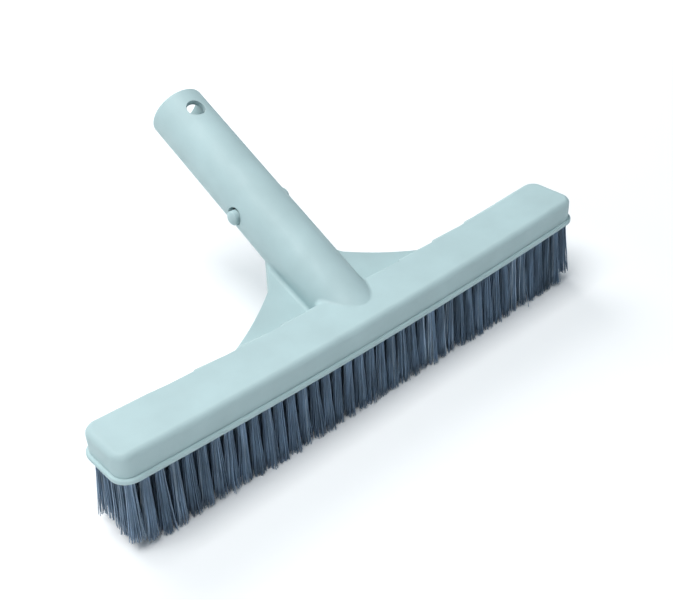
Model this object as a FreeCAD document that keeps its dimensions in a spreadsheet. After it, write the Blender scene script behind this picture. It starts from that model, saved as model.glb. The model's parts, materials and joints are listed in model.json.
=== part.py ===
"""Pool wall brush that plugs into a telescopic pole.

Frame, in millimetres: +X runs along the head, +Y runs from the head towards the pole, +Z is up.
The origin is on the scrubbing face, at the tip of the middle tuft, so the trimmed tips lie in z = 0.

The head is a slab that curves up towards both ends. A hollow spigot rises behind it at a slant, and two
webs brace it. Tufts stand square to the curved underside, each folded over a flat anchor in a blind hole.
A V-shaped spring clip inside the spigot pushes two buttons out through the spigot's sides.
"""

import FreeCAD, Part

import math
import os

import Sketcher

Vector = FreeCAD.Vector
Rotation = FreeCAD.Rotation
Placement = FreeCAD.Placement

NEAR = 0.02     # places closer together than this count as one
SPARE = 30.0    # how far a cutting tool runs on past what it cuts

DIMENSIONS = [
    ("head_length", 270.0, "length of the head over its lip"),
    ("head_width", 27.6, "width of the head above its lip"),
    ("head_height", 13.2, "thickness of the head, lip included"),
    ("bow_radius", 2600.0, "radius of the underside's curve along the head"),
    ("lip_reach", 1.4, "how far the lip stands out from the head's walls"),
    ("lip_height", 2.2, "height of the lip"),
    ("lip_round", 0.7, "rounding of the lip's upper edge"),
    ("corner_round", 6.5, "radius of the head's corners, seen from above"),
    ("crown_round", 2.8, "radius between the head's walls and its top"),
    ("trim_height", 33.0, "underside of the head above the scrubbing face, at the middle"),
    ("socket_tilt", 26.75, "slope of the spigot, in degrees"),
    ("socket_start", 29.6, "where the spigot's axis leaves the head's top plane, behind its middle"),
    ("socket_reach", 113.0, "length of the spigot's axis beyond that point"),
    ("socket_outer", 28.4, "outside diameter of the spigot"),
    ("socket_inner", 22.8, "inside diameter of the spigot"),
    ("shank_start", 50.5, "where the spigot's parallel shank begins, along its axis"),
    ("root_draft", 0.15, "how much the spigot's radius grows from the shank to the start of its axis"),
    ("buried_root", 45.0, "how far the spigot's root runs on into the head"),
    ("seam_behind", 1.45, "distance from the head's back wall to the plane where the head's form ends"),
    ("seam_beside", 2.2, "distance from the spigot's side to the plane where a web's form begins"),
    ("front_margin", 4.4, "distance from the head's front wall to the end of that root"),
    ("socket_floor", 7.0, "where the inside of the spigot ends, beyond the start of its axis"),
    ("socket_skirt", 0.5, "height of the spigot's flat underside above the head's underside"),
    ("foot_round", 2.0, "radius where the spigot grows out of the head and the webs"),
    ("mouth_round", 1.3, "rounding of the spigot's outer rim"),
    ("cross_hole", 9.2, "diameter of the hole down through the spigot near its mouth"),
    ("cross_setback", 12.9, "distance from the mouth to that hole"),
    ("window", 9.0, "diameter of the side holes for the clip's buttons"),
    ("window_lead", 0.4, "how much nearer the mouth the side holes are than the buttons, for their swing"),
    ("button_setback", 67.7, "distance from the mouth to the buttons"),
    ("web_tilt", 20.0, "slope of the webs, in degrees"),
    ("web_rise", 3.78, "top of the webs above the head's underside, at the head's back wall"),
    ("web_thickness", 3.2, "thickness of the webs"),
    ("web_root", 67.0, "half width of the webs where they leave the head"),
    ("web_buried", 6.0, "how far the webs run on into the head"),
    ("web_flare", 5.0, "how much wider they get in there"),
    ("web_root_reach", 2.04, "distance from the back wall to that corner"),
    ("web_scoop", 170.0, "radius of the webs' hollow edges"),
    ("web_shoulder", 22.5, "half width of the webs at their shoulders"),
    ("web_shoulder_reach", 25.24, "distance from the back wall to the shoulders"),
    ("web_point", 11.0, "half width of the webs where they end in the spigot"),
    ("web_point_reach", 41.64, "distance from the back wall to that end"),
    ("web_round", 5.0, "radius of the shoulders"),
    ("station_count", 41, "tuft stations along the head"),
    ("station_pitch", 6.46, "distance between tuft stations"),
    ("row_count", 5, "rows of tufts across the head"),
    ("row_pitch", 5.3, "distance between rows"),
    ("tuft_hole", 4.2, "diameter of a tuft's hole"),
    ("tuft_hole_depth", 9.0, "depth of a tuft's hole"),
    ("tuft_root", 3.9, "diameter of a tuft at the head"),
    ("tuft_tip", 5.2, "diameter of a tuft at the scrubbing face"),
    ("end_trim", 5.0, "how much shorter the last tuft at each end is"),
    ("next_trim", 1.6, "how much shorter the last tuft but one is"),
    ("anchor_length", 5.2, "length of a tuft's anchor"),
    ("anchor_thickness", 0.7, "thickness of a tuft's anchor"),
    ("anchor_height", 2.2, "height of a tuft's anchor"),
    ("fold_gap", 0.1, "gap between a folded tuft and its anchor"),
    ("strip_thickness", 0.9, "thickness of the clip's spring strip"),
    ("strip_width", 8.0, "width of the clip's spring strip"),
    ("bow_bend", 3.6, "inside radius of the clip's bow"),
    ("bow_setback", 33.4, "distance from the buttons back to the ends of the bow"),
    ("clip_gap", 0.3, "gap between the bow and each leg"),
    ("leg_seat", 10.3, "distance from the spigot's axis to the outside of a leg, under its button"),
    ("leg_flat", 5.5, "half length of the flat under a button"),
    ("leg_tail", 3.5, "length of a leg's turned-in tail"),
    ("leg_tuck", 0.9, "how far the tail turns in"),
    ("button_diameter", 7.0, "diameter of a button"),
    ("button_proud", 3.2, "how far a button stands out of the spigot"),
    ("button_dome", 1.6, "height of a button's domed end"),
]

doc = FreeCAD.newDocument("pool_wall_brush")


def make_sheet():
    """Write the driving dimensions into a spreadsheet."""
    sheet = doc.addObject("Spreadsheet::Sheet", "Dimensions")
    for row, (alias, value, note) in enumerate(DIMENSIONS, start=1):
        sheet.set(f"A{row}", note)
        sheet.set(f"B{row}", str(value))
        sheet.setAlias(f"B{row}", alias)
    doc.recompute()
    return sheet


sheet = make_sheet()


def size(alias):
    """Read one driving dimension."""
    return float(sheet.get(alias))


def bind(target, path, expression):
    """Bind a property to an expression, in which each driving dimension stands after a $."""
    target.setExpression(path, expression.replace("$", "Dimensions."))


# --- Frames -------------------------------------------------------------------------------------


def socket_frame():
    """The spigot's frame: its y axis is the spigot's axis, and its x axis is the head's."""
    base = Vector(0, size("socket_start"), size("trim_height") + size("head_height"))
    return Placement(base, Rotation(Vector(1, 0, 0), size("socket_tilt")))


def web_frame():
    """The webs' frame: its xy plane is the webs' sloping top, starting at the head's back wall."""
    base = Vector(0, size("head_width") / 2, size("trim_height") + size("web_rise"))
    return Placement(base, Rotation(Vector(1, 0, 0), size("web_tilt")))


def station_frame(station):
    """A tuft station's frame: its origin is on the curved underside, and its z axis points into the head."""
    along = (station - (size("station_count") - 1) / 2) * size("station_pitch")
    radius = size("bow_radius")
    turn = math.asin(along / radius)
    base = Vector(along, 0, size("trim_height") + radius * (1 - math.cos(turn)))
    return Placement(base, Rotation(Vector(0, 1, 0), -math.degrees(turn)))


def row_offsets():
    """The tuft rows' y positions, front to back."""
    count = int(size("row_count"))
    return [(row - (count - 1) / 2) * size("row_pitch") for row in range(count)]


# --- Sketch and feature helpers -----------------------------------------------------------------


def sketch_on(body, role, name):
    """Attach a new sketch to one of the body's own origin planes."""
    sketch = body.newObject("Sketcher::SketchObject", name)
    plane = next(item for item in body.Origin.OriginFeatures if item.Role == role)
    sketch.AttachmentSupport = [(plane, "")]
    sketch.MapMode = "FlatFace"
    return sketch


def distance(sketch, kind, geometry, vertex, expression):
    """Fix a sketch vertex's distance from the origin along one axis, bound to the spreadsheet."""
    point = sketch.getPoint(geometry, vertex)
    start = point.x if kind == "DistanceX" else point.y
    index = sketch.addConstraint(Sketcher.Constraint(kind, -1, 1, geometry, vertex, start))
    bind(sketch, f"Constraints[{index}]", expression)


def arc_between(start, end, radius):
    """An arc of a given radius that bulges to the left of the way from start to end."""
    way = end - start
    half = way.Length / 2
    left = Vector(-way.y, way.x, 0).normalize()
    rise = abs(radius) - math.sqrt(radius * radius - half * half)
    return Part.Arc(start, (start + end) / 2 + left * math.copysign(rise, radius), end)


def outline(sketch, points):
    """Draw a closed outline through points of (x, y, x expression, y expression).

    A point may go on with a radius and its expression: the edge that leaves it is then an arc, which bulges
    to the left for a positive radius and to the right for a negative one.
    """
    ends = []
    for index, point in enumerate(points):
        after = points[(index + 1) % len(points)]
        start, end = Vector(point[0], point[1], 0), Vector(after[0], after[1], 0)
        if len(point) > 4:
            sketch.addGeometry(arc_between(start, end, point[4]))
        else:
            sketch.addGeometry(Part.LineSegment(start, end))
        forward = sketch.getPoint(index, 1).distanceToPoint(start) < 1e-6
        ends.append((1, 2) if forward else (2, 1))
    for index, point in enumerate(points):
        after = (index + 1) % len(points)
        joint = ("Coincident", index, ends[index][1], after, ends[after][0])
        sketch.addConstraint(Sketcher.Constraint(*joint))
        distance(sketch, "DistanceX", index, ends[index][0], point[2])
        distance(sketch, "DistanceY", index, ends[index][0], point[3])
        if len(point) > 4:
            radius = sketch.addConstraint(Sketcher.Constraint("Radius", index, abs(point[4])))
            bind(sketch, f"Constraints[{radius}]", point[5])


def pad(body, sketch, name, length, symmetric=False, backwards=False):
    """Pad a sketch by a bound length."""
    feature = body.newObject("PartDesign::Pad", name)
    feature.Profile = sketch
    feature.SideType = "Symmetric" if symmetric else "One side"
    feature.Reversed = backwards
    bind(feature, "Length", length)
    doc.recompute()
    return feature


def edges_where(feature, test):
    """Name the edges of a feature's shape that pass a test."""
    return [f"Edge{i}" for i, edge in enumerate(feature.Shape.Edges, start=1) if test(edge)]


def round_edges(body, base, name, edges, radius):
    """Round some edges of a feature by a bound radius."""
    feature = body.newObject("PartDesign::Fillet", name)
    feature.Base = (base, edges)
    bind(feature, "Radius", radius)
    doc.recompute()
    return feature


def primitive(kind, name, placement, **expressions):
    """Add a Part primitive whose sizes are bound to the spreadsheet."""
    item = doc.addObject(kind, name)
    for path, expression in expressions.items():
        bind(item, path, expression)
    item.Placement = placement
    return item


def along_y(start):
    """A placement that lays a cylinder along +Y from a start."""
    return Placement(Vector(0, start, 0), Rotation(Vector(1, 0, 0), -90))


# --- The moulded body ---------------------------------------------------------------------------


def slab_sketch(body, name, half_length, thickness):
    """Draw a curved slab from the side: two arcs about one centre, and upright ends."""
    sketch = sketch_on(body, "XZ_Plane", name)
    radius = size("bow_radius")
    centre = Vector(0, size("trim_height") + radius, 0)
    reach = size("head_length") / 2
    down = -math.pi / 2

    def arc(about, swing):
        circle = Part.Circle(centre, Vector(0, 0, 1), about)
        return Part.ArcOfCircle(circle, down - swing, down + swing)

    lower = arc(radius, reach / radius)
    upper = arc(radius - 5, reach / radius)
    sketch.addGeometry(lower)
    sketch.addGeometry(Part.LineSegment(lower.EndPoint, upper.EndPoint))
    sketch.addGeometry(upper)
    sketch.addGeometry(Part.LineSegment(upper.StartPoint, lower.StartPoint))
    sketch.addConstraint(Sketcher.Constraint("Coincident", 0, 2, 1, 1))
    sketch.addConstraint(Sketcher.Constraint("Coincident", 1, 2, 2, 2))
    sketch.addConstraint(Sketcher.Constraint("Coincident", 2, 1, 3, 1))
    sketch.addConstraint(Sketcher.Constraint("Coincident", 3, 2, 0, 1))
    sketch.addConstraint(Sketcher.Constraint("Coincident", 0, 3, 2, 3))
    sketch.addConstraint(Sketcher.Constraint("PointOnObject", 0, 3, -2))
    sketch.addConstraint(Sketcher.Constraint("Vertical", 1))
    sketch.addConstraint(Sketcher.Constraint("Vertical", 3))
    distance(sketch, "DistanceY", 0, 3, "$trim_height + $bow_radius")
    for geometry, value, expression in (
        (0, radius, "$bow_radius"),
        (2, radius - 5, f"$bow_radius - {thickness}"),
    ):
        index = sketch.addConstraint(Sketcher.Constraint("Radius", geometry, value))
        bind(sketch, f"Constraints[{index}]", expression)
    distance(sketch, "DistanceX", 1, 1, half_length)
    distance(sketch, "DistanceX", 3, 2, f"-({half_length})")
    return sketch


def upright(edge):
    """Whether an edge is a straight upright line."""
    low, high = edge.Vertexes[0].Point, edge.Vertexes[-1].Point
    straight = isinstance(edge.Curve, Part.Line)
    return straight and abs(low.x - high.x) < NEAR and abs(low.y - high.y) < NEAR


def make_head():
    """The head: a crowned slab, and a lip that stands out along its bottom edge."""
    body = doc.addObject("PartDesign::Body", "HeadBlock")
    slab_half = "$head_length / 2 - $lip_reach"
    crown_sketch = slab_sketch(body, "CrownSide", slab_half, "$head_height")
    crown = pad(body, crown_sketch, "Crown", "$head_width", symmetric=True)
    corners = round_edges(body, crown, "CrownCorners", edges_where(crown, upright), "$corner_round")

    top = size("trim_height") + size("head_height") - NEAR
    rim = edges_where(corners, lambda edge: edge.BoundBox.ZMin > top)
    round_edges(body, corners, "CrownEdge", rim, "$crown_round")

    lip_sketch = slab_sketch(body, "LipSide", "$head_length / 2", "$lip_height")
    lip = pad(body, lip_sketch, "Lip", "$head_width + 2 * $lip_reach", symmetric=True)
    reach = size("head_length") / 2 - NEAR

    def at_lip_corner(edge):
        return upright(edge) and max(abs(edge.BoundBox.XMin), abs(edge.BoundBox.XMax)) > reach

    lip_edges = edges_where(lip, at_lip_corner)
    lip = round_edges(body, lip, "LipCorners", lip_edges, "$corner_round + $lip_reach")
    side = size("head_width") / 2 + size("lip_reach") - NEAR

    def at_lip_top(edge):
        box = edge.BoundBox
        outside = max(abs(box.YMin), abs(box.YMax)) > side or max(abs(box.XMin), abs(box.XMax)) > reach
        return outside and not upright(edge) and box.ZMax > size("trim_height") + size("lip_height") - NEAR

    body.Tip = round_edges(body, lip, "LipEdge", edges_where(lip, at_lip_top), "$lip_round")
    doc.recompute()
    return body


def make_webs():
    """The two webs, as one plate that runs through the foot of the spigot."""
    body = doc.addObject("PartDesign::Body", "Webs")
    sketch = sketch_on(body, "XY_Plane", "WebOutline")
    inside = -size("web_buried")
    spread = size("web_flare")
    root, shoulder, point = size("web_root"), size("web_shoulder"), size("web_point")
    root_reach, shoulder_reach = size("web_root_reach"), size("web_shoulder_reach")
    point_reach, scoop = size("web_point_reach"), size("web_scoop")
    outline(sketch, [
        (-root - spread, inside, "-$web_root - $web_flare", "-$web_buried"),
        (root + spread, inside, "$web_root + $web_flare", "-$web_buried"),
        (root, root_reach, "$web_root", "$web_root_reach", scoop, "$web_scoop"),
        (shoulder, shoulder_reach, "$web_shoulder", "$web_shoulder_reach"),
        (point, point_reach, "$web_point", "$web_point_reach"),
        (-point, point_reach, "-$web_point", "$web_point_reach"),
        (-shoulder, shoulder_reach, "-$web_shoulder", "$web_shoulder_reach", scoop, "$web_scoop"),
        (-root, root_reach, "-$web_root", "$web_root_reach"),
    ])
    plate = pad(body, sketch, "WebPlate", "$web_thickness", backwards=True)

    def at_shoulder(edge):
        return upright(edge) and abs(edge.BoundBox.YMin - shoulder_reach) < NEAR

    body.Tip = round_edges(body, plate, "Shoulders", edges_where(plate, at_shoulder), "$web_round")
    body.Placement = web_frame()
    return body


def barrel_radius(along):
    """The spigot's outer radius: level where it enters a pole, and a little wider towards its root."""
    taper = size("root_draft") * max(0.0, size("shank_start") - along) / size("shank_start")
    return size("socket_outer") / 2 + taper


def make_barrel():
    """The outside of the spigot: a drafted root, then a parallel shank with a rounded mouth."""
    frame = socket_frame()
    root = primitive(
        "Part::Cone", "BarrelRoot", frame.multiply(along_y(-size("buried_root"))),
        Radius1="$socket_outer / 2 + $root_draft * (1 + $buried_root / $shank_start)",
        Radius2="$socket_outer / 2", Height="$buried_root + $shank_start",
    )
    shank = primitive(
        "Part::Cylinder", "BarrelShank", frame.multiply(along_y(size("shank_start"))),
        Radius="$socket_outer / 2", Height="$socket_reach - $shank_start",
    )
    barrel = doc.addObject("Part::MultiFuse", "Barrel")
    barrel.Shapes = [root, shank]
    doc.recompute()
    mouth = frame.multVec(Vector(0, size("socket_reach"), 0))
    rounded = doc.addObject("Part::Fillet", "RoundedBarrel")
    rounded.Base = barrel
    rounded.Edges = [
        (i, size("mouth_round"), size("mouth_round"))
        for i, edge in enumerate(barrel.Shape.Edges, start=1)
        if edge.CenterOfMass.distanceToPoint(mouth) < NEAR
    ]
    return rounded


def make_socket():
    """The outside of the spigot and the webs, cut off flush with the head's underside."""
    margin = size("front_margin")
    front = -size("head_width") / 2 + margin
    floor = size("trim_height") + size("socket_skirt")
    keep = primitive(
        "Part::Box", "AboveUnderside", Placement(Vector(-size("socket_reach"), front, floor), Rotation()),
        Length="2 * $socket_reach", Width="2 * $socket_reach", Height="2 * $socket_reach",
    )
    both = joined("SocketAndWebs", make_barrel(), make_webs())
    trimmed = doc.addObject("Part::MultiCommon", "TrimmedSocket")
    trimmed.Shapes = [both, keep]
    doc.recompute()
    return trimmed


def foot_edges(shape):
    """Number the edges where the spigot meets the tops of the webs."""
    axis, webs = socket_frame(), web_frame()
    found = []
    for number, edge in enumerate(shape.Edges, start=1):
        first, last = edge.ParameterRange
        points = [edge.valueAt(first + (last - first) * step / 4) for step in range(5)]
        on_spigot = all(
            abs(math.hypot(local.x, local.z) - barrel_radius(local.y)) < NEAR
            for local in map(axis.inverse().multVec, points)
        )
        on_webs = all(abs(webs.inverse().multVec(point).z) < NEAR for point in points)
        if on_spigot and on_webs:
            found.append(number)
    return found


def soften_foot(form):
    """Round the corners where the spigot grows out of the webs."""
    radius = size("foot_round")
    soft = doc.addObject("Part::Fillet", "SoftFoot")
    soft.Base = form
    soft.Edges = [(number, radius, radius) for number in foot_edges(form.Shape)]
    return soft


def anchor_box():
    """An anchor at the top of a tuft's hole, in its station's frame."""
    length, thickness, height = size("anchor_length"), size("anchor_thickness"), size("anchor_height")
    top = size("tuft_hole_depth")
    return Part.makeBox(length, thickness, height, Vector(-length / 2, -thickness / 2, top - height))


def placed(shape, station, offset):
    """Copy a shape from a station's frame to one row of that station."""
    copy = shape.copy()
    copy.Placement = Placement(Vector(0, offset, 0), Rotation()).multiply(station_frame(station))
    return copy


def make_tuft_holes():
    """Every tuft's blind hole, with the slot that its anchor bites into the plastic."""
    start = -SPARE / 10
    drill = Part.makeCylinder(size("tuft_hole") / 2, size("tuft_hole_depth") - start, Vector(0, 0, start))
    tool = drill.fuse(anchor_box())
    stations = range(int(size("station_count")))
    holes = [placed(tool, station, offset) for station in stations for offset in row_offsets()]
    feature = doc.addObject("Part::Feature", "TuftHoles")
    feature.Shape = Part.makeCompound(holes)
    feature.Placement = Placement()
    return feature


def joined(name, *pieces):
    """Fuse pieces into one solid."""
    fused = doc.addObject("Part::MultiFuse", name)
    fused.Shapes = list(pieces)
    return fused


def cut_from(base, tool, name):
    """Cut a tool out of a base."""
    result = doc.addObject("Part::Cut", name)
    result.Base = base
    result.Tool = tool
    return result


def make_socket_openings():
    """The spigot's bore, the hole across its mouth and the two windows for the buttons."""
    frame = socket_frame()
    past = size("socket_outer")
    bore = primitive(
        "Part::Cylinder", "Bore", frame.multiply(along_y(size("socket_floor"))),
        Radius="$socket_inner / 2", Height="$socket_reach",
    )
    cross = Placement(Vector(0, size("socket_reach") - size("cross_setback"), -past), Rotation())
    cross_hole = primitive(
        "Part::Cylinder", "CrossHole", frame.multiply(cross),
        Radius="$cross_hole / 2", Height="2 * $socket_outer",
    )
    sideways = Placement(
        Vector(-past, button_station() + size("window_lead"), 0), Rotation(Vector(0, 1, 0), 90),
    )
    windows = primitive(
        "Part::Cylinder", "Windows", frame.multiply(sideways),
        Radius="$window / 2", Height="2 * $socket_outer",
    )
    return joined("SocketOpenings", bore, cross_hole, windows)


def region(moulding, name, low, lengths):
    """The part of the moulding inside a box, given by its low corner and its lengths along X, Y and Z."""
    room = primitive(
        "Part::Box", f"{name}Room", Placement(Vector(*low), Rotation()),
        **dict(zip(("Length", "Width", "Height"), lengths)),
    )
    part = doc.addObject("Part::MultiCommon", name)
    part.Shapes = [moulding, room]
    return part


def make_moulding():
    """The moulding's four forms, divided by planes just behind the head and just beside the spigot."""
    moulding = joined("Moulding", make_head(), make_socket())
    half_space = 2 * size("socket_reach")
    behind = size("head_width") / 2 + size("seam_behind")
    beside = size("socket_outer") / 2 + size("seam_beside")
    whole, half = "4 * $socket_reach", "2 * $socket_reach"
    waist = "$socket_outer + 2 * $seam_beside"
    front = region(moulding, "FrontForm", (-half_space, behind - half_space, 0), (whole, half, half))
    middle = region(moulding, "MiddleForm", (-beside, behind, 0), (waist, half, half))
    web_left = region(moulding, "WebLeft", (-beside - half_space, behind, 0), (half, half, half))
    web_right = region(moulding, "WebRight", (beside, behind, 0), (half, half, half))
    doc.recompute()
    head = cut_from(front, make_tuft_holes(), "Head")
    spigot = cut_from(soften_foot(middle), make_socket_openings(), "Spigot")
    head.Label, spigot.Label = "head", "spigot"
    web_left.Label, web_right.Label = "web_left", "web_right"
    return [head, spigot, web_left, web_right]


# --- Tufts and their anchors --------------------------------------------------------------------


def trim_level(station):
    """Height of the tips at a station: the scrubbing face, and higher in the last two at each end."""
    last = int(size("station_count")) - 1
    from_end = min(station, last - station)
    return {0: size("end_trim"), 1: size("next_trim")}.get(from_end, 0.0)


def tuft_shape():
    """A long tuft in its station's frame: a parallel root, a flared brush and a slot for the anchor."""
    root, tip = size("tuft_root") / 2, size("tuft_tip") / 2
    depth = size("tuft_hole_depth") - size("fold_gap")
    trim = size("trim_height")
    flare = (tip - root) / trim
    over = trim + SPARE / 5
    profile = Part.makePolygon([
        Vector(0, 0, depth), Vector(root, 0, depth), Vector(root, 0, 0),
        Vector(root + flare * over, 0, -over), Vector(0, 0, -over), Vector(0, 0, depth),
    ])
    solid = Part.Face(profile).revolve(Vector(0, 0, 0), Vector(0, 0, 1), 360)
    gap = size("fold_gap")
    width = size("anchor_thickness") + 2 * gap
    height = size("anchor_height") + gap
    bottom = size("tuft_hole_depth") - height
    slot = Part.makeBox(SPARE, width, height, Vector(-SPARE / 2, -width / 2, bottom))
    return solid.cut(slot)


def make_tufts(station, tuft):
    """One node with the tufts of one station, cut off level at their tips."""
    sample = placed(tuft, station, 0)
    level = trim_level(station)
    middle = sample.BoundBox.Center.x
    below = Part.makeBox(SPARE, SPARE, SPARE, Vector(middle - SPARE / 2, -SPARE / 2, level - SPARE))
    trimmed = sample.cut(below)
    row_shapes = []
    for offset in row_offsets():
        row_shape = trimmed.copy()
        row_shape.translate(Vector(0, offset, 0))
        row_shapes.append(row_shape)
    feature = doc.addObject("Part::Feature", f"Tufts{station + 1:02d}")
    feature.Label = f"tufts_{station + 1:02d}"
    feature.Shape = Part.makeCompound(row_shapes)
    feature.Placement = Placement()
    return feature


def make_anchors():
    """One node with every tuft's anchor."""
    box = anchor_box()
    stations = range(int(size("station_count")))
    feature = doc.addObject("Part::Feature", "Anchors")
    feature.Label = "tuft_anchors"
    feature.Shape = Part.makeCompound(
        [placed(box, station, offset) for station in stations for offset in row_offsets()]
    )
    feature.Placement = Placement()
    return feature


# --- Spring clip --------------------------------------------------------------------------------


def button_station():
    """The buttons' distance along the spigot's axis."""
    return size("socket_reach") - size("button_setback")


def bow_end():
    """Where the bow's ends are, along the spigot's axis."""
    return button_station() - size("bow_setback")


def make_clip_bow():
    """The clip's bow: a half ring of spring strip, open towards the mouth."""
    body = doc.addObject("PartDesign::Body", "ClipBow")
    body.Label = "clip_bow"
    sketch = sketch_on(body, "XY_Plane", "BowSide")
    centre = Vector(0, bow_end(), 0)
    inner, thickness = size("bow_bend"), size("strip_thickness")
    for radius in (inner, inner + thickness):
        circle = Part.Circle(centre, Vector(0, 0, 1), radius)
        sketch.addGeometry(Part.ArcOfCircle(circle, math.pi, 2 * math.pi))
    for side in (-1, 1):
        start = centre + Vector(side * inner, 0, 0)
        sketch.addGeometry(Part.LineSegment(start, centre + Vector(side * (inner + thickness), 0, 0)))
    for line, vertex in ((2, 1), (3, 2)):
        sketch.addConstraint(Sketcher.Constraint("Coincident", 0, vertex, line, 1))
        sketch.addConstraint(Sketcher.Constraint("Coincident", 1, vertex, line, 2))
        sketch.addConstraint(Sketcher.Constraint("Horizontal", line))
    sketch.addConstraint(Sketcher.Constraint("Coincident", 0, 3, 1, 3))
    sketch.addConstraint(Sketcher.Constraint("PointOnObject", 0, 3, -2))
    sketch.addConstraint(Sketcher.Constraint("PointOnObject", 0, 3, 2))
    distance(sketch, "DistanceY", 0, 3, "$socket_reach - $button_setback - $bow_setback")
    for geometry, value, expression in (
        (0, inner, "$bow_bend"),
        (1, inner + thickness, "$bow_bend + $strip_thickness"),
    ):
        index = sketch.addConstraint(Sketcher.Constraint("Radius", geometry, value))
        bind(sketch, f"Constraints[{index}]", expression)
    body.Tip = pad(body, sketch, "BowStrip", "$strip_width", symmetric=True)
    body.Placement = socket_frame()
    return body


def make_clip_leg(side, name, label):
    """A leg of the clip: a strip that slopes out to the wall, a flat under the button and a tail."""
    body = doc.addObject("PartDesign::Body", name)
    body.Label = label
    sketch = sketch_on(body, "XY_Plane", f"{name}Side")
    thickness = size("strip_thickness")
    start = bow_end() + size("clip_gap")
    flat_start = button_station() - size("leg_flat")
    flat_end = button_station() + size("leg_flat")
    tail_end = flat_end + size("leg_tail")
    bend, seat, tuck = size("bow_bend"), size("leg_seat"), size("leg_tuck")
    sign = "" if side > 0 else "-"
    centre_text = "$socket_reach - $button_setback"
    start_text = f"{centre_text} - $bow_setback + $clip_gap"
    flat_start_text = f"{centre_text} - $leg_flat"
    flat_end_text = f"{centre_text} + $leg_flat"
    tail_text = f"{flat_end_text} + $leg_tail"
    outer_text = f"{sign}$leg_seat"
    inner_text = f"{sign}($leg_seat - $strip_thickness)"
    outline(sketch, [
        (side * bend, start, f"{sign}$bow_bend", start_text),
        (side * (bend + thickness), start, f"{sign}($bow_bend + $strip_thickness)", start_text),
        (side * seat, flat_start, outer_text, flat_start_text),
        (side * seat, flat_end, outer_text, flat_end_text),
        (side * (seat - tuck), tail_end, f"{sign}($leg_seat - $leg_tuck)", tail_text),
        (side * (seat - tuck - thickness), tail_end,
         f"{sign}($leg_seat - $leg_tuck - $strip_thickness)", tail_text),
        (side * (seat - thickness), flat_end, inner_text, flat_end_text),
        (side * (seat - thickness), flat_start, inner_text, flat_start_text),
    ])
    body.Tip = pad(body, sketch, f"{name}Strip", "$strip_width", symmetric=True)
    body.Placement = socket_frame()
    return body


def make_clip_button(side, name, label):
    """A button: a round stem on the leg's flat, with a domed end outside the spigot."""
    body = doc.addObject("PartDesign::Body", name)
    body.Label = label
    sketch = sketch_on(body, "XY_Plane", f"{name}Profile")
    sign = "" if side > 0 else "-"
    middle, radius, dome = button_station(), size("button_diameter") / 2, size("button_dome")
    seat = size("leg_seat")
    tip = size("socket_outer") / 2 + size("button_proud")
    dome_radius = (radius * radius + dome * dome) / (2 * dome)
    middle_text = "$socket_reach - $button_setback"
    edge_text = f"{middle_text} + $button_diameter / 2"
    tip_text = "$socket_outer / 2 + $button_proud"
    dome_text = "(($button_diameter / 2) ^ 2 + $button_dome ^ 2) / (2 * $button_dome)"
    outline(sketch, [
        (side * seat, middle, f"{sign}$leg_seat", middle_text),
        (side * seat, middle + radius, f"{sign}$leg_seat", edge_text),
        (side * (tip - dome), middle + radius, f"{sign}({tip_text} - $button_dome)", edge_text,
         side * dome_radius, dome_text),
        (side * tip, middle, f"{sign}({tip_text})", middle_text),
    ])
    turned = body.newObject("PartDesign::Revolution", f"{name}Turned")
    turned.Profile = sketch
    turned.ReferenceAxis = (sketch, ["Edge4"])
    turned.Angle = 360
    body.Tip = turned
    body.Placement = socket_frame()
    doc.recompute()
    return body


# --- Assembly, checks and export ----------------------------------------------------------------


def make_parts():
    """Build every sub-part, in the order of the list of nodes."""
    tuft = tuft_shape()
    parts = make_moulding()
    parts += [make_tufts(station, tuft) for station in range(int(size("station_count")))]
    parts.append(make_anchors())
    parts.append(make_clip_bow())
    for side, word in ((-1, "left"), (1, "right")):
        title = word.capitalize()
        parts.append(make_clip_leg(side, f"ClipLeg{title}", f"clip_leg_{word}"))
        parts.append(make_clip_button(side, f"ClipButton{title}", f"clip_button_{word}"))
    doc.recompute()
    return parts


def check(parts):
    """Stop if an object failed to recompute or a sub-part has no valid shape."""
    for item in doc.Objects:
        if "Invalid" in item.State or "Error" in item.State:
            raise RuntimeError(f"{item.Label} failed: {item.State}")
    for part in parts:
        if part.Shape.isNull() or not part.Shape.isValid():
            raise RuntimeError(f"{part.Label} has no valid shape")


def export(parts):
    """Write each sub-part to its own STEP file."""
    os.makedirs("parts", exist_ok=True)
    for part in parts:
        part.Shape.exportStep(f"parts/{part.Label}.step")
        box = part.Shape.BoundBox
        print(f"{part.Label}: {len(part.Shape.Solids)} solids, {part.Shape.Volume:.0f} mm3, "
              f"z {box.ZMin:.2f} to {box.ZMax:.2f}")


sub_parts = make_parts()
check(sub_parts)
export(sub_parts)
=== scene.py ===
"""The pool wall brush: looks, lights and camera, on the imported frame. Lengths are in metres."""

import json
import math

import bpy
import numpy as np
from mathutils import Matrix, Vector


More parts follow.
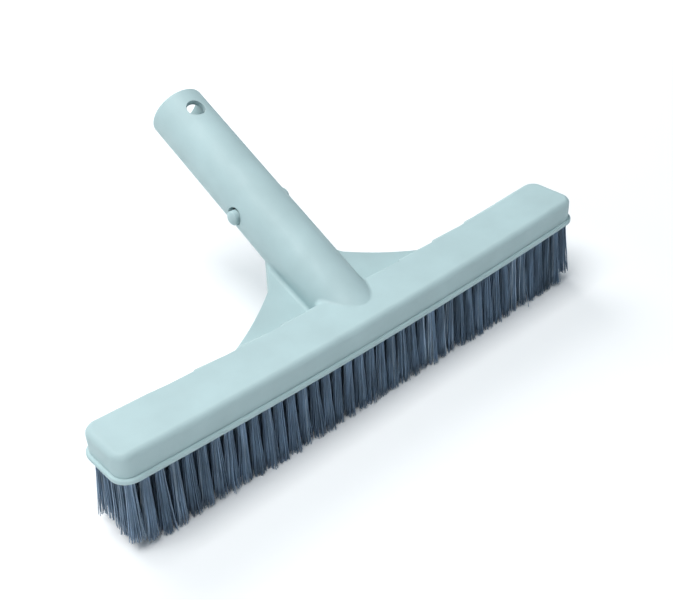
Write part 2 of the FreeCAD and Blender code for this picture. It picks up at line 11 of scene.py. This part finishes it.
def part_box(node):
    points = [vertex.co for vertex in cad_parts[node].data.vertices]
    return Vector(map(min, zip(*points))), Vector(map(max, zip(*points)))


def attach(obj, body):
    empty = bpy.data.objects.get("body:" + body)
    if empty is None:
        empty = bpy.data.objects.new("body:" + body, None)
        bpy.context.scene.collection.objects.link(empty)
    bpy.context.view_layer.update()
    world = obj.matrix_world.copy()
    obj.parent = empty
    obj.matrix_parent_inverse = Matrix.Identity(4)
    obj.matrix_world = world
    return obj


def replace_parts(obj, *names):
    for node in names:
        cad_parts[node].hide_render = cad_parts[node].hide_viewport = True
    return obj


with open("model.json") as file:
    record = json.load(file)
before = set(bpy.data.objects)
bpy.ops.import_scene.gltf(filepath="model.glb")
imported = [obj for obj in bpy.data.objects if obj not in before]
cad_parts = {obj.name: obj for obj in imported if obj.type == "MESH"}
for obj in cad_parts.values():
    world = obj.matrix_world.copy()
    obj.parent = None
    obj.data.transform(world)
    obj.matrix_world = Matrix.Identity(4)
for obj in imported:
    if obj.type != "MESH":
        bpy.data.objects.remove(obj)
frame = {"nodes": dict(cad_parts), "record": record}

MM = 0.001

# Camera
CAMERA_AZIMUTH = -40.45        # degrees round the object, from straight in front
CAMERA_ELEVATION = 34.83       # degrees
CAMERA_ROLL = -3.02            # degrees
CAMERA_DISTANCE = 446.64 * MM
CAMERA_RIGHT = -11.78 * MM     # where the camera aims, from the middle of the head's underside
CAMERA_UP = 11.33 * MM
FOCAL_WIDTHS = 1000 / 673      # focal length over the image's width

# Light and floor
KEY_POWER = 15.2               # watts
KEY_PLACE, KEY_WIDTH = (-0.42, 0.0, 1.25), 0.8
FAR_POWER = 18.0
FAR_PLACE, FAR_WIDTH = (0.1, 1.5, 1.3), 1.2
ROOM_COLOUR = (0.6, 0.92, 1.15, 1)
ROOM_LEVEL = 0.15
FLOOR_REACH = 12.0
GLOW_START, GLOW_END = 0.2, 1.7    # distances between which the floor's own glow grows
GLOW_NEAR, GLOW_FAR = 0.05, 0.95

# Moulding
MOULDING_NODES = ("head", "spigot", "web_left", "web_right")
SEAM_NEAR = 0.005 * MM         # triangles this near a seam plane lie in it
HEAD_HEIGHT = 13.2 * MM        # lip included
LIP_REACH = 1.4 * MM
CROWN_ROUND = 2.8 * MM
WEB_RISE = 3.78 * MM           # webs' top above the head's underside, at its back wall
ROOT_DRAFT = 0.2 * MM          # how much wider the spigot is at its foot than in the pole
FOOT_ROUND = 3.0 * MM
WALL_STEPS, CROWN_STEPS, TOP_STEPS, ARC_STEPS = 4, 13, 12, 7    # steps of the foot's rounding
BURIED_CORNER = 1.08           # how far past the sharp edge the rounding's hidden corner lies
EDGE_WEAR = 0.5 * MM           # width of the rubbed edges

# Tufts
WIRES_PER_TUFT = 64
WIRE_RADIUS = 0.2 * MM
RADIUS_RANGE = (0.9, 1.1)
WIRE_SIDES = 3
WIRE_RINGS = 7
ROW_COUNT = 5
END_BAND = 0.4 * MM            # how near a tuft's top or tips its vertices are taken
SEATED_DEPTH = 8.9 * MM        # how much of a tuft is inside its hole
HIDDEN_START = 1.5 * MM        # how far inside the hole the wires begin
BEND = 1.35                    # how late the wires spread: 1 is straight from the head
ROOT_SPREAD = 1.72 * MM        # radius that the wires fill at the head
TIP_SPREAD = 3.25 * MM         # radius that the wires fill at the tips
SPREAD_RANGE = (0.9, 1.12)     # how that radius varies between tufts
SPOT_SCATTER = 0.05            # unevenness of the wires' places, as a share of either radius
TIP_SCATTER = 0.28 * MM        # how far single wires then wander at their tips
STRAY_SHARE, STRAY_REACH = 0.03, 1.2 * MM
TRIM_SCATTER = 0.45 * MM       # how much shorter than their tuft single wires are
WAVE_RANGE = (1.0, 2.2)        # waves along a crimped wire
CRIMP_RANGE = (0.05, 0.22)     # their height in millimetres
KNOT_STATIONS = 3              # stations between the knots of a slow drift along the head
DRIFT = 0.45 * MM              # how far neighbouring tufts lean together
LEAN = 0.3 * MM                # how far a tuft leans alone
END_TUFTS, END_LEAN = 3, 0.3 * MM    # the last stations lean outwards
SIDE_LEAN = 0.4 * MM           # how far the outer rows lean outwards
STEP_HEIGHT = 0.7 * MM         # how much the trim varies along the head
TRIM_HEIGHT = 0.25 * MM        # how much it varies from tuft to tuft
TONE, TUFT_TONE, WIRE_TONE = 0.42, 0.07, 0.11    # mean tone, and its spreads by tuft and by wire
# a few wires get a much brighter tone: painted glints standing in for wires catching the light
GLINT_PAINT_SHARE, GLINT_PAINT_STEP = 0.05, 0.4
SEED = 71

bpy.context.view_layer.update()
nodes = frame["nodes"]


# --- Helpers ------------------------------------------------------------------------------------


def vertices_of(node):
    """A CAD node's vertices as an array."""
    mesh = nodes[node].data
    flat = np.zeros(len(mesh.vertices) * 3, np.float32)
    mesh.vertices.foreach_get("co", flat)
    return flat.reshape(-1, 3).astype(float)


def add_piece(mesh, material):
    """Put a mesh on the brush's body as a piece of its own."""
    mesh.materials.append(material)
    piece = bpy.data.objects.new(mesh.name, mesh)
    bpy.context.scene.collection.objects.link(piece)
    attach(piece, "brush")
    return piece


class Shader:
    """A material's node tree, with short ways to add and link nodes."""

    def __init__(self, name):
        self.material = bpy.data.materials.new(name)
        self.material.use_nodes = True
        self.tree = self.material.node_tree
        self.surface = self.tree.nodes["Principled BSDF"]

    def add(self, kind, **values):
        """Add a node and set its properties, or else its sockets, by their names."""
        node = self.tree.nodes.new(kind)
        for key, value in values.items():
            if hasattr(node, key):
                setattr(node, key, value)
            else:
                node.inputs[key.replace("_", " ").title()].default_value = value
        return node

    def link(self, source, target):
        """Link two sockets."""
        self.tree.links.new(source, target)

    def set(self, **values):
        """Set the surface shader's own sockets."""
        for key, value in values.items():
            self.surface.inputs[key.replace("_", " ")].default_value = value

    def noise(self, scale, detail=3.0, stretch=None):
        """Noise in the object's own space; scale is in features per metre."""
        place = self.add("ShaderNodeTexCoord")
        source = place.outputs["Object"]
        if stretch:
            mapping = self.add("ShaderNodeMapping")
            mapping.inputs["Scale"].default_value = stretch
            self.link(source, mapping.inputs["Vector"])
            source = mapping.outputs["Vector"]
        noise = self.add("ShaderNodeTexNoise", scale=scale, detail=detail)
        self.link(source, noise.inputs["Vector"])
        return noise.outputs["Fac"]

    def ramp(self, source, *stops):
        """A colour ramp through (position, colour) stops; a colour may be one grey number."""
        ramp = self.add("ShaderNodeValToRGB")
        elements = ramp.color_ramp.elements
        while len(elements) < len(stops):
            elements.new(0.5)
        for element, (position, colour) in zip(elements, stops):
            element.position = position
            if isinstance(colour, (int, float)):
                colour = (colour, colour, colour)
            element.color = (*colour, 1)
        self.link(source, ramp.inputs["Fac"])
        return ramp.outputs["Color"]

    def mix(self, factor, first, second, mode="MIX"):
        """Mix two colours by a factor, each a socket or a value."""
        mix = self.add("ShaderNodeMix")
        mix.data_type = "RGBA"
        mix.blend_type = mode
        for socket, value in ((mix.inputs[0], factor), (mix.inputs[6], first), (mix.inputs[7], second)):
            if isinstance(value, bpy.types.NodeSocket):
                self.link(value, socket)
            elif isinstance(value, tuple):
                socket.default_value = (*value, 1)
            else:
                socket.default_value = value
        return mix.outputs[2]

    def bump(self, *layers, base=None):
        """Stack bumps of (height socket, strength, distance in metres) on a base normal."""
        previous = base
        for height, strength, distance in layers:
            bump = self.add("ShaderNodeBump", strength=strength, distance=distance)
            self.link(height, bump.inputs["Height"])
            if previous:
                self.link(previous, bump.inputs["Normal"])
            previous = bump.outputs["Normal"]
        self.link(previous, self.surface.inputs["Normal"])


# --- Materials ----------------------------------------------------------------------------------


def moulded_plastic(name, colour, roughness):
    """Pale moulded plastic: cloudy tone, fine grain, rubbed edges and a soft gloss."""
    shader = Shader(name)
    deep = tuple(channel * 0.94 for channel in colour)
    light = tuple(min(1.0, channel * 1.04) for channel in colour)
    tone = shader.ramp(shader.noise(45, 4), (0.3, deep), (0.7, light))
    specks = shader.ramp(shader.noise(900, 2), (0.66, 0.0), (0.74, 0.45))
    tone = shader.mix(specks, tone, deep)
    rounded = shader.add("ShaderNodeBevel", samples=4, radius=EDGE_WEAR)
    flat = shader.add("ShaderNodeNewGeometry")
    edge = shader.add("ShaderNodeVectorMath", operation="DOT_PRODUCT")
    shader.link(rounded.outputs["Normal"], edge.inputs[0])
    shader.link(flat.outputs["Normal"], edge.inputs[1])
    rubbed = shader.ramp(edge.outputs["Value"], (0.86, 0.8), (0.985, 0.0))
    patchy = shader.mix(shader.noise(300, 3), (0.0, 0.0, 0.0), rubbed)
    pale = tuple(channel + (1 - channel) * 0.4 for channel in colour)
    tone = shader.mix(patchy, tone, pale)
    shader.link(tone, shader.surface.inputs["Base Color"])
    gloss = shader.ramp(shader.noise(160, 5), (0.35, roughness - 0.07), (0.65, roughness + 0.1))
    shader.link(gloss, shader.surface.inputs["Roughness"])
    shader.set(IOR=1.48)
    waves, grain = shader.noise(110, 2), shader.noise(2600, 2)
    shader.bump((waves, 0.15, 0.3 * MM), (grain, 0.12, 0.03 * MM), base=rounded.outputs["Normal"])
    return shader.material


def wire_steel():
    """Stainless wire: each wire has its own random tone, a few wires are painted bright as painted
    glints, and fine drawing marks run along it.
    """
    shader = Shader("bristle_wire")
    tone = shader.add("ShaderNodeAttribute", attribute_name="tone").outputs["Fac"]
    # the top stop gives the painted glint wires their near-white colour
    colour = shader.ramp(
        tone, (0.0, (0.13, 0.2, 0.275)), (0.6, (0.28, 0.4, 0.55)), (1.0, (0.66, 0.77, 0.85))
    )
    stains = shader.ramp(shader.noise(220, 3, (1, 1, 0.25)), (0.4, 0.75), (0.65, 1.1))
    colour = shader.mix(1.0, colour, stains, "MULTIPLY")
    shader.link(colour, shader.surface.inputs["Base Color"])
    gloss = shader.ramp(shader.noise(500, 2, (1, 1, 0.2)), (0.35, 0.3), (0.65, 0.5))
    shader.link(gloss, shader.surface.inputs["Roughness"])
    shader.set(Metallic=0.55)
    shader.bump((shader.noise(5000, 2, (1, 1, 0.05)), 0.2, 0.02 * MM))
    return shader.material


def strip_steel(name, along):
    """Rolled spring steel: a bright metal with drawn lines along the strip."""
    shader = Shader(name)
    lines = shader.noise(2500, 4, along)
    colour = shader.ramp(lines, (0.35, (0.42, 0.43, 0.45)), (0.65, (0.6, 0.61, 0.63)))
    shader.link(colour, shader.surface.inputs["Base Color"])
    gloss = shader.ramp(shader.noise(300, 4), (0.35, 0.22), (0.7, 0.42))
    shader.link(gloss, shader.surface.inputs["Roughness"])
    shader.set(Metallic=1.0)
    shader.bump((lines, 0.2, 0.02 * MM))
    return shader.material


def paint(node, material):
    """Give a CAD node one material."""
    slots = nodes[node].data.materials
    slots.clear()
    slots.append(material)


# --- Tufts --------------------------------------------------------------------------------------


def tuft_lines(node):
    """The row positions of a tuft node, and its axis from the head's underside down to the tips."""
    points = vertices_of(node)
    top_level, tip_level = points[:, 2].max(), points[:, 2].min()
    top = points[points[:, 2] > top_level - END_BAND].mean(0)
    tips = points[points[:, 2] < tip_level + END_BAND]
    tip = tips.mean(0)
    axis = tip - top
    axis[1] = 0
    axis /= np.linalg.norm(axis)
    root = top + axis * SEATED_DEPTH
    half = (tips[:, 1].max() - tips[:, 1].min()) / 2
    tip_radius = (tips[:, 0].max() - tips[:, 0].min()) / 2
    rows = np.linspace(tip_radius - half, half - tip_radius, ROW_COUNT) + tip[1]
    return root, axis, rows, tip_level


def disc(random, count):
    """Evenly scattered points in a unit disc."""
    index = np.arange(count) + 0.5
    radius = np.sqrt(index / count)
    golden_angle = math.pi * (3 - math.sqrt(5))
    angle = index * golden_angle + random.uniform(0, 2 * math.pi)
    points = np.stack([radius * np.cos(angle), radius * np.sin(angle)], 1)
    return points + random.normal(0, SPOT_SCATTER, (count, 2))


def wire_paths(random, start, axis, level, lean):
    """The centre lines of one tuft's wires, as an array of wire, ring and coordinate."""
    count = WIRES_PER_TUFT
    spot = disc(random, count)
    root = spot * ROOT_SPREAD
    spread = TIP_SPREAD * random.uniform(*SPREAD_RANGE)
    tip = spot * spread + random.normal(0, TIP_SCATTER, (count, 2)) + lean
    stray = random.random(count) < STRAY_SHARE
    tip[stray] += random.normal(0, STRAY_REACH, (stray.sum(), 2))
    drop = (start[2] - level) / -axis[2]
    length = drop - np.abs(random.normal(0, TRIM_SCATTER, count))
    along = np.linspace(0, 1, WIRE_RINGS)
    bend = (along ** BEND)[None, :, None]
    across = root[:, None, :] + (tip - root)[:, None, :] * bend
    phase = random.uniform(0, 2 * math.pi, (count, 1, 2))
    waves = random.uniform(*WAVE_RANGE, (count, 1, 1))
    height = random.uniform(*CRIMP_RANGE, (count, 1, 1)) * MM
    across += height * np.sin(2 * math.pi * waves * along[None, :, None] + phase) * bend
    points = start + along[None, :, None] * length[:, None, None] * axis
    points[:, :, :2] += across
    return points


def wire_mesh(name, paths, tones, radius):
    """One mesh of thin round wires along centre lines."""
    wires, rings = paths.shape[:2]
    angle = np.arange(WIRE_SIDES) * 2 * math.pi / WIRE_SIDES
    ring = np.stack([np.cos(angle), np.sin(angle), 0 * angle], 1)
    points = paths[:, :, None, :] + ring[None, None] * radius[:, None, None, None]
    first = np.arange(wires)[:, None, None] * rings * WIRE_SIDES
    step = np.arange(rings - 1)[None, :, None] * WIRE_SIDES
    side = np.arange(WIRE_SIDES)[None, None, :]
    after = (side + 1) % WIRE_SIDES
    low = first + step
    quads = np.stack([low + side, low + side + WIRE_SIDES, low + after + WIRE_SIDES, low + after], -1)
    last = (np.arange(wires)[:, None] * rings + rings - 1) * WIRE_SIDES
    end = last + np.arange(WIRE_SIDES)[::-1]
    mesh = bpy.data.meshes.new(name)
    mesh.from_pydata(points.reshape(-1, 3).tolist(), [], quads.reshape(-1, 4).tolist() + end.tolist())
    mesh.polygons.foreach_set("use_smooth", [True] * len(mesh.polygons))
    tone = mesh.attributes.new("tone", "FLOAT", "POINT")
    tone.data.foreach_set("value", np.repeat(tones, rings * WIRE_SIDES).astype(np.float32))
    mesh.update()
    return mesh


def lean_field(random, stations):
    """A slow random drift along the head, so that neighbouring tufts lean alike."""
    knots = random.normal(0, 1, (stations // KNOT_STATIONS + 3, ROW_COUNT, 2))
    where = np.arange(stations) / KNOT_STATIONS
    low = where.astype(int)
    part = (where - low)[:, None, None]
    return knots[low] * (1 - part) + knots[low + 1] * part


def tuft_tones(random):
    """A tone for each wire of one tuft, random, with a few wires painted bright as painted glints."""
    shade = random.normal(TONE, TUFT_TONE)
    tones = random.normal(shade, WIRE_TONE, WIRES_PER_TUFT)
    # painted glints: these wires' tone is raised towards the ramp's near-white top
    tones[random.random(WIRES_PER_TUFT) < GLINT_PAINT_SHARE] += GLINT_PAINT_STEP
    return np.clip(tones, 0, 1)


def make_tufts(material):
    """Replace each tuft node by its wires."""
    names = sorted(name for name in nodes if name.startswith("tufts_"))
    random = np.random.default_rng(SEED)
    drift = lean_field(random, len(names)) * DRIFT
    heights = np.abs(lean_field(random, len(names))[:, :, 0]) * STEP_HEIGHT
    middle = (len(names) - 1) / 2
    middle_row = (ROW_COUNT - 1) / 2
    for index, name in enumerate(names):
        root, axis, rows, tip_level = tuft_lines(name)
        outward = np.sign(root[0]) * max(0.0, abs(index - middle) - middle + END_TUFTS) / END_TUFTS
        paths, tones = [], []
        for row, offset in enumerate(rows):
            start = np.array([root[0], offset, root[2]]) - axis * HIDDEN_START
            edge = (row - middle_row) / middle_row
            lean = drift[index, row] + random.normal(0, LEAN, 2)
            lean += np.array([outward * END_LEAN, edge * SIDE_LEAN])
            level = tip_level + heights[index, row] + abs(random.normal(0, TRIM_HEIGHT))
            paths.append(wire_paths(random, start, axis, level, lean))
            tones.append(tuft_tones(random))
        paths, tones = np.concatenate(paths), np.concatenate(tones)
        radius = WIRE_RADIUS * random.uniform(*RADIUS_RANGE, len(paths))
        mesh = wire_mesh(name.replace("tufts", "wires"), paths, tones, radius)
        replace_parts(add_piece(mesh, material), name)


# --- Moulding -----------------------------------------------------------------------------------


def shell_of(node, seams):
    """A CAD node's vertices, triangles and corner normals, without the triangles in the seam planes."""
    mesh = nodes[node].data
    triangles = np.array([polygon.vertices[:] for polygon in mesh.polygons])
    normals = np.array([corner.vector[:] for corner in mesh.corner_normals]).reshape(-1, 3, 3)
    points = vertices_of(node)
    keep = np.ones(len(triangles), bool)
    for axis, level in seams:
        keep &= np.abs(points[triangles][:, :, axis] - level).max(1) > SEAM_NEAR
    return points, triangles[keep], normals[keep]


def make_moulding(material):
    """One seamless piece from the four forms of the moulding, which CAD divides by planes."""
    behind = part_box("head")[1].y
    left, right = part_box("web_left")[1].x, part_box("web_right")[0].x
    seams = ((1, behind), (0, left), (0, right))
    points, triangles, normals, count = [], [], [], 0
    for node in MOULDING_NODES:
        node_points, node_triangles, node_normals = shell_of(node, seams)
        triangles.append(node_triangles + count)
        points.append(node_points)
        normals.append(node_normals)
        count += len(node_points)
    mesh = bpy.data.meshes.new("moulding")
    mesh.from_pydata(np.concatenate(points).tolist(), [], np.concatenate(triangles).tolist())
    mesh.polygons.foreach_set("use_smooth", [True] * len(mesh.polygons))
    mesh.normals_split_custom_set(np.concatenate(normals).reshape(-1, 3).tolist())
    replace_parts(add_piece(mesh, material), *MOULDING_NODES)


# --- Foot of the spigot -------------------------------------------------------------------------


def ball_centres():
    """Centres of a ball that rolls round the spigot's foot, each with the way to the head's surface.

    It climbs the head's back wall and goes over the crown's rounding; the way across the top is added by
    make_foot_blend.
    """
    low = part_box("head")[0]
    back = -low.y - LIP_REACH
    top = low.z + HEAD_HEIGHT
    bend_y, bend_z = back - CROWN_ROUND, top - CROWN_ROUND
    centres = []
    for level in np.linspace(low.z + WEB_RISE + FOOT_ROUND, bend_z, WALL_STEPS + 1)[:-1]:
        centres.append(((back + FOOT_ROUND, level), (-1.0, 0.0)))
    for turn in np.linspace(math.pi / 2, 0, CROWN_STEPS):
        out = (math.sin(turn), math.cos(turn))
        reach = CROWN_ROUND + FOOT_ROUND
        centres.append(((bend_y + reach * out[0], bend_z + reach * out[1]), (-out[0], -out[1])))
    return centres, bend_y, top


def make_foot_blend(material):
    """A concave rounding, rolled by a ball, where the spigot grows out of the head."""
    spigot = next(mount for mount in frame["record"]["mounts"] if mount["name"] == "spigot")
    origin, along = np.array(spigot["pos_m"]), np.array(spigot["axis"])
    clear = spigot["dims"]["r_mm"] * MM + ROOT_DRAFT + FOOT_ROUND
    normal = np.array([0.0, -along[2], along[1]])
    centres, bend_y, top = ball_centres()
    half = []
    for (y, z), to_head in centres:
        lift = normal @ (np.array([0.0, y, z]) - origin)
        half.append((math.sqrt(max(clear ** 2 - lift ** 2, 0.0)), y, z, to_head))
    start = half[-1][0]
    for side in np.linspace(start, 0, TOP_STEPS)[1:]:
        lift = math.sqrt(clear ** 2 - side ** 2)
        z = top + FOOT_ROUND
        y = origin[1] + (normal[2] * (z - origin[2]) - lift) / -normal[1]
        half.append((side, y, z, (0.0, -1.0)))
    path = [(-x, y, z, way) for x, y, z, way in half] + half[-2::-1]
    rings = [foot_section(np.array([x, y, z]), np.array([0.0, *way]), origin, along)
             for x, y, z, way in path]
    mesh = bpy.data.meshes.new("foot_blend")
    size = len(rings[0])
    points = np.concatenate(rings)
    centres = np.repeat(np.array([[x, y, z] for x, y, z, way in path]), size, 0)
    normals = (centres - points) / np.linalg.norm(centres - points, axis=1)[:, None]
    faces = [
        (k * size + i, k * size + (i + 1) % size, (k + 1) * size + (i + 1) % size, (k + 1) * size + i)
        for k in range(len(rings) - 1) for i in range(size)
    ]
    faces += [tuple(range(size))[::-1], tuple(range(len(points) - size, len(points)))]
    mesh.from_pydata(points.tolist(), [], faces)
    mesh.polygons.foreach_set("use_smooth", [True] * len(mesh.polygons))
    mesh.normals_split_custom_set_from_vertices(normals.tolist())
    add_piece(mesh, material)


def foot_section(centre, to_head, origin, along):
    """The rounding's section at one place: an arc from the spigot to the head, and the buried corner."""
    offset = centre - origin
    to_axis = -(offset - (offset @ along) * along)
    to_spigot = to_axis / np.linalg.norm(to_axis)
    turn = math.acos(np.clip(to_spigot @ to_head, -1, 1))
    arc = []
    for part in np.linspace(0, 1, ARC_STEPS):
        way = math.sin((1 - part) * turn) * to_spigot + math.sin(part * turn) * to_head
        arc.append(centre + FOOT_ROUND * way / math.sin(turn))
    edge = (to_spigot + to_head) / (1 + to_spigot @ to_head)
    corner = centre + FOOT_ROUND * BURIED_CORNER * edge
    return np.array(arc + [corner])


# --- Stage --------------------------------------------------------------------------------------


def make_camera():
    """A camera at the catalogue picture's angle."""
    azimuth, elevation = math.radians(CAMERA_AZIMUTH), math.radians(CAMERA_ELEVATION)
    back = Vector((
        math.sin(azimuth) * math.cos(elevation),
        -math.cos(azimuth) * math.cos(elevation),
        math.sin(elevation),
    ))
    level_right = (-back).cross(Vector((0, 0, 1))).normalized()
    level_up = level_right.cross(-back)
    roll = math.radians(CAMERA_ROLL)
    right = level_right * math.cos(roll) + level_up * math.sin(roll)
    up = level_up * math.cos(roll) - level_right * math.sin(roll)
    underside = Vector((0, 0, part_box("head")[0].z))
    place = underside + back * CAMERA_DISTANCE + right * CAMERA_RIGHT + up * CAMERA_UP
    data = bpy.data.cameras.new("camera")
    data.sensor_width = 36.0
    data.lens = data.sensor_width * FOCAL_WIDTHS
    data.clip_start = 0.01
    camera = bpy.data.objects.new("camera", data)
    bpy.context.scene.collection.objects.link(camera)
    camera.matrix_world = Matrix.Translation(place) @ Matrix((right, up, back)).transposed().to_4x4()
    bpy.context.scene.camera = camera


def make_floor():
    """A plain pale floor that glows faintly beyond the lights' reach, so that it stays white."""
    mesh = bpy.data.meshes.new("floor")
    corners = [(x * FLOOR_REACH, y * FLOOR_REACH, 0) for x, y in ((-1, -1), (1, -1), (1, 1), (-1, 1))]
    mesh.from_pydata(corners, [], [(0, 1, 2, 3)])
    shader = Shader("floor_paper")
    paper = shader.ramp(shader.noise(6, 3), (0.3, 0.965), (0.7, 0.985))
    shader.link(paper, shader.surface.inputs["Base Color"])
    shader.set(Roughness=0.9)
    shader.surface.inputs["Emission Color"].default_value = (1.0, 1.0, 1.0, 1)
    place = shader.add("ShaderNodeTexCoord")
    away = shader.add("ShaderNodeVectorMath", operation="LENGTH")
    shader.link(place.outputs["Object"], away.inputs[0])
    glow = shader.add(
        "ShaderNodeMapRange", from_min=GLOW_START, from_max=GLOW_END, to_min=GLOW_NEAR, to_max=GLOW_FAR
    )
    shader.link(away.outputs["Value"], glow.inputs["Value"])
    shader.link(glow.outputs["Result"], shader.surface.inputs["Emission Strength"])
    mesh.materials.append(shader.material)
    floor = bpy.data.objects.new("floor", mesh)
    bpy.context.scene.collection.objects.link(floor)


def make_light(name, place, target, width, power):
    """A square soft box that faces a target."""
    data = bpy.data.lights.new(name, "AREA")
    data.size = width
    data.energy = power
    light = bpy.data.objects.new(name, data)
    bpy.context.scene.collection.objects.link(light)
    way = Vector(target) - Vector(place)
    light.matrix_world = Matrix.Translation(place) @ way.to_track_quat("-Z", "Y").to_matrix().to_4x4()


def make_lights():
    """A large soft box overhead and a little to the left, one for the far floor, and a dim room."""
    make_light("overhead", KEY_PLACE, (0, 0.03, 0.03), KEY_WIDTH, KEY_POWER)
    make_light("far", FAR_PLACE, (0, 1.3, 0), FAR_WIDTH, FAR_POWER)
    world = bpy.data.worlds.new("room")
    world.use_nodes = True
    backdrop = world.node_tree.nodes["Background"]
    backdrop.inputs["Color"].default_value = ROOM_COLOUR
    backdrop.inputs["Strength"].default_value = ROOM_LEVEL
    bpy.context.scene.world = world
    bpy.context.scene.view_settings.view_transform = "Standard"


# --- Assembly -----------------------------------------------------------------------------------


def dress_moulding():
    """The moulding in one plastic, with the spigot's foot rounded on the head."""
    plastic = moulded_plastic("body_plastic", (0.455, 0.595, 0.605), 0.58)
    make_moulding(plastic)
    make_foot_blend(plastic)


def dress_clip():
    """Glossy buttons on the clip, and bright spring steel for its strips and the anchors."""
    button = moulded_plastic("button_plastic", (0.43, 0.57, 0.585), 0.5)
    for side in ("left", "right"):
        paint(f"clip_button_{side}", button)
        paint(f"clip_leg_{side}", strip_steel(f"leg_steel_{side}", (1, 0.05, 0.05)))
    paint("clip_bow", strip_steel("bow_steel", (1, 0.05, 0.05)))
    paint("tuft_anchors", strip_steel("anchor_steel", (0.05, 1, 1)))


dress_moulding()
dress_clip()
make_tufts(wire_steel())
make_floor()
make_lights()
make_camera()
